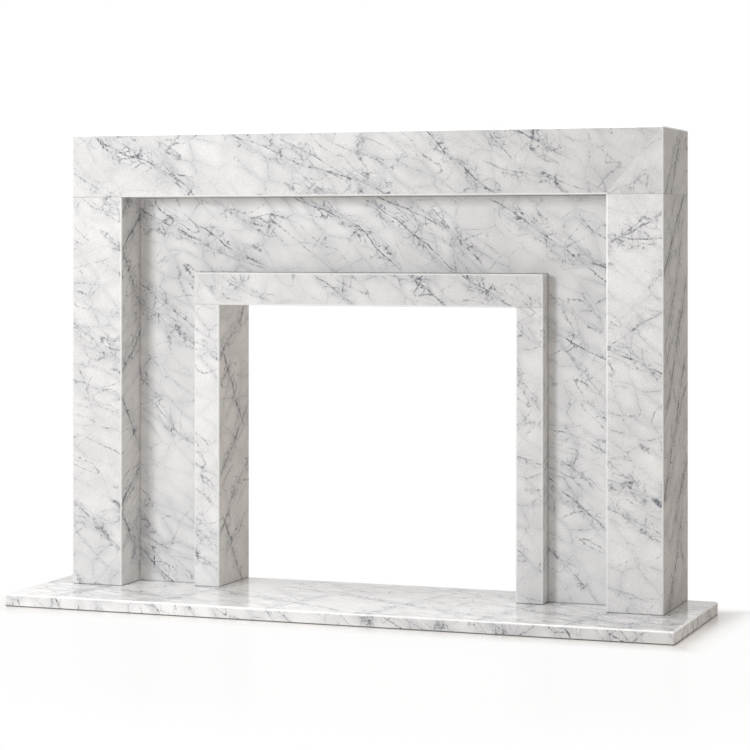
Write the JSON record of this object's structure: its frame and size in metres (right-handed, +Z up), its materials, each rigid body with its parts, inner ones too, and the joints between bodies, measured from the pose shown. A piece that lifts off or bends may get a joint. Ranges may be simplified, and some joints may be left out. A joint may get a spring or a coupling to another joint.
{
  "type": "fireplace mantel",
  "caption": "Stepped stone fireplace mantel: a deep outer frame, a recessed back panel and a slimmer inner frame round the fire opening, standing on a thin hearth slab.",
  "frame": {"origin": "middle of the hearth's underside, on the floor", "axes": "+Z up; the front faces -Y and the wall is at the +Y side; +X runs to the viewer's right along the mantel's width"},
  "size_m": [1.644, 0.46, 1.145],
  "materials": {
    "hearth_marble": "polished white marble with blue-grey veins",
    "frame_marble": "honed white marble with blue-grey veins",
    "panel_marble": "honed white marble with blue-grey veins"
  },
  "bodies": {
    "root": {"hearth": "hearth_marble", "outer_leg_left": "frame_marble", "outer_leg_right": "frame_marble", "outer_corner_left": "frame_marble", "outer_corner_right": "frame_marble", "outer_lintel": "frame_marble", "back_panel": "panel_marble", "inner_leg_left": "frame_marble", "inner_leg_right": "frame_marble", "inner_corner_left": "frame_marble", "inner_corner_right": "frame_marble", "inner_lintel": "frame_marble"}
  },
  "joints": []
}
